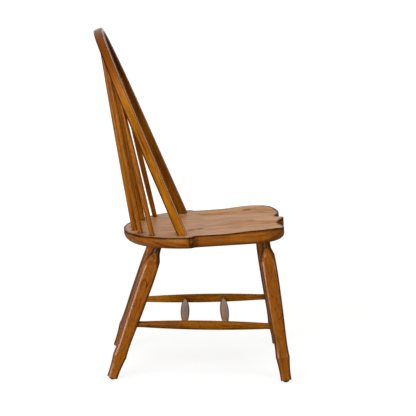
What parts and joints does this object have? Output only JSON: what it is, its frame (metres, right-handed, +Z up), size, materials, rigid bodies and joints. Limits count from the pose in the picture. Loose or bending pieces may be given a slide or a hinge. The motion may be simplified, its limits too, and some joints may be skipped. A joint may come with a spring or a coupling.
{
  "type": "bow back chair",
  "caption": "Bow back dining chair: a carved saddle seat, a bent bow that holds turned spindles, raked squared legs, side and cross stretchers, and domed glides.",
  "frame": {"origin": "middle of the footprint's bounding box, on the floor", "axes": "+Z up; the front of the seat faces -Y and the back leans towards +Y; X runs across the chair, with left at -X as seen from the front"},
  "size_m": [0.46, 0.5841, 1.0316],
  "materials": {
    "seat_wood": "satin honey stain with a dark glaze along the edges",
    "bow_wood": "satin amber stain with a dark glaze along the edges",
    "turned_wood": "satin amber stain",
    "leg_wood": "satin amber stain with a dark glaze in the recesses",
    "glide": "smooth dark brown moulding",
    "nail": "bright wire nail"
  },
  "bodies": {
    "root": {"bow": "bow_wood", "cross_stretcher_front": "turned_wood", "cross_stretcher_rear": "turned_wood", "glide_front_left": "glide", "glide_front_right": "glide", "glide_nail_front_left": "nail", "glide_nail_front_right": "nail", "glide_nail_rear_left": "nail", "glide_nail_rear_right": "nail", "glide_rear_left": "glide", "glide_rear_right": "glide", "leg_front_left": "leg_wood", "leg_front_right": "leg_wood", "leg_rear_left": "leg_wood", "leg_rear_right": "leg_wood", "seat": "seat_wood", "side_stretcher_left": "turned_wood", "side_stretcher_right": "turned_wood", "spindle_centre": "turned_wood", "spindle_inner_left": "turned_wood", "spindle_inner_right": "turned_wood", "spindle_middle_left": "turned_wood", "spindle_middle_right": "turned_wood", "spindle_outer_left": "turned_wood", "spindle_outer_right": "turned_wood"}
  },
  "joints": []
}
